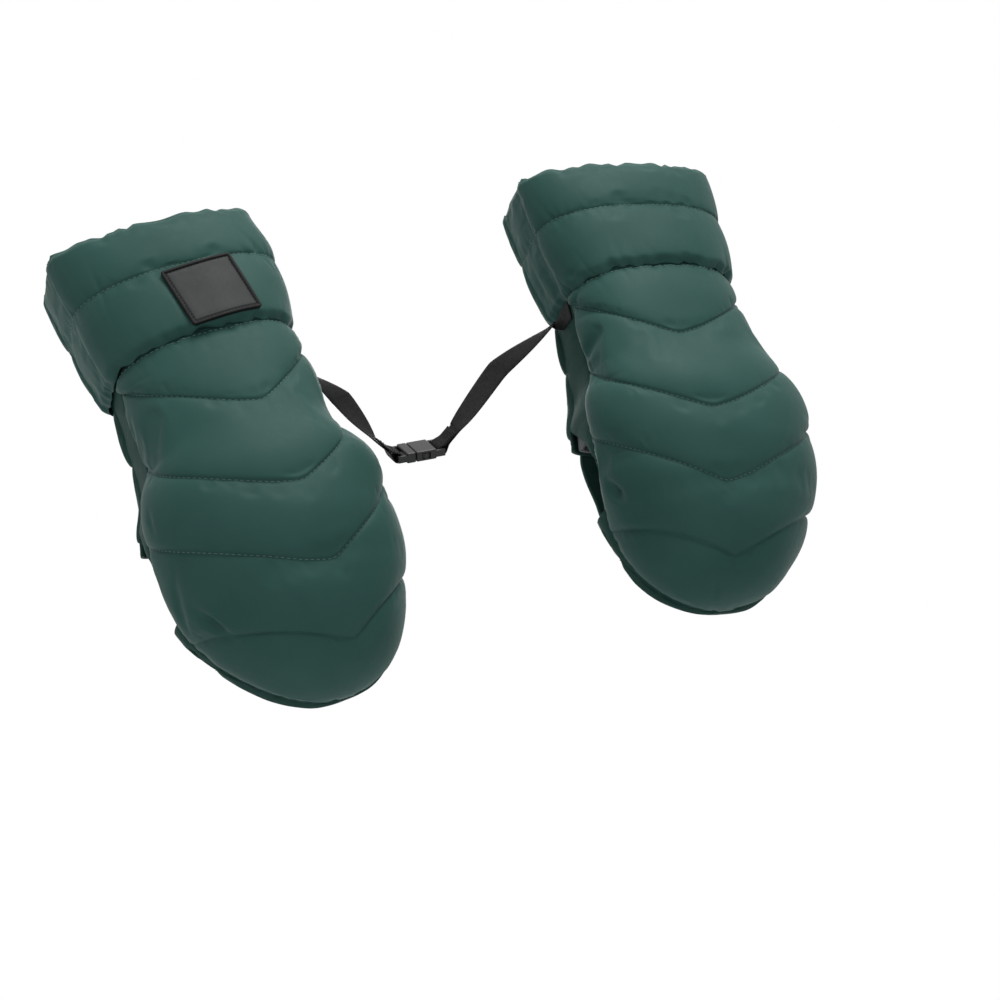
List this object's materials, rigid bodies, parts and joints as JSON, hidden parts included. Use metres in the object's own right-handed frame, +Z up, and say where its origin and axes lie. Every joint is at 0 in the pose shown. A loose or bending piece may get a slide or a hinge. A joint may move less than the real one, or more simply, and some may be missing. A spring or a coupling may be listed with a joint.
{
  "type": "stroller hand muff",
  "caption": "Pair of quilted mitts that close round a pram's handlebar, open at the cuffs and joined by a webbing strap with a side-release buckle.",
  "frame": {"origin": "on the handlebar's centre line, midway between the mitts", "axes": "+X along the handlebar from the left mitt to the right one, +Z up towards the cuffs, -Y towards the quilted fronts"},
  "size_m": [0.4988, 0.1214, 0.347],
  "materials": {
    "quilted_cloth": "quilted satin nylon",
    "back_cloth": "satin nylon",
    "gusset_cloth": "satin nylon",
    "fleece": "brushed pile",
    "elastic": "knitted",
    "webbing": "woven",
    "badge_rubber": "matt",
    "buckle_plastic": "moulded, fine satin",
    "press_stud": "plated"
  },
  "bodies": {
    "left_muff": {"left_cuff": "quilted_cloth", "left_front_panel": "quilted_cloth", "left_back_panel": "back_cloth", "left_lobe_back": "back_cloth", "left_lobe_gusset": "gusset_cloth", "left_outer_gusset": "gusset_cloth", "left_inner_gusset": "gusset_cloth", "left_lining": "fleece", "left_wrist_elastic": "elastic", "left_snap_stud_outer": "press_stud", "left_snap_stud_inner": "press_stud", "left_badge": "badge_rubber", "left_strap": "webbing", "buckle_plug": "buckle_plastic"},
    "right_muff": {"right_cuff": "quilted_cloth", "right_front_panel": "quilted_cloth", "right_back_panel": "back_cloth", "right_lobe_back": "back_cloth", "right_lobe_gusset": "gusset_cloth", "right_outer_gusset": "gusset_cloth", "right_inner_gusset": "gusset_cloth", "right_lining": "fleece", "right_wrist_elastic": "elastic", "right_snap_stud_outer": "press_stud", "right_snap_stud_inner": "press_stud", "right_strap": "webbing", "buckle_socket": "buckle_plastic"},
    "left_flap": {"left_bar_flap": "back_cloth", "left_snap_socket_outer": "press_stud", "left_snap_socket_inner": "press_stud"},
    "right_flap": {"right_bar_flap": "back_cloth", "right_snap_socket_outer": "press_stud", "right_snap_socket_inner": "press_stud"},
    "prong_upper": {"buckle_prong_upper": "buckle_plastic"},
    "prong_lower": {"buckle_prong_lower": "buckle_plastic"}
  },
  "joints": [
    {"name": "right_muff_slide", "type": "slide", "parent": "left_muff", "child": "right_muff", "axis": [1, 0, 0], "range_m": [0, 0.06], "deforming": ["buckle_prong_upper", "buckle_prong_lower"]},
    {"name": "left_flap_hinge", "type": "hinge", "parent": "left_muff", "child": "left_flap", "pos_m": [-0.15907, 0.02738, 0.03921], "axis": [0.9919, 0, 0.1271], "range_deg": [0, 110]},
    {"name": "right_flap_hinge", "type": "hinge", "parent": "right_muff", "child": "right_flap", "pos_m": [0.15907, 0.02738, 0.03921], "axis": [0.9919, 0, -0.1271], "range_deg": [0, 110]},
    {"name": "prong_upper_flex", "type": "hinge", "parent": "left_muff", "child": "prong_upper", "pos_m": [-0.0406, -0.00814, 0.0533], "axis": [0, 0.766, -0.6428], "range_deg": [0, 18], "stiffness_Nm_per_rad": 0.4},
    {"name": "prong_lower_flex", "type": "hinge", "parent": "left_muff", "child": "prong_lower", "pos_m": [-0.0406, -0.01586, 0.0441], "axis": [0, -0.766, 0.6428], "range_deg": [0, 18], "stiffness_Nm_per_rad": 0.4}
  ]
}
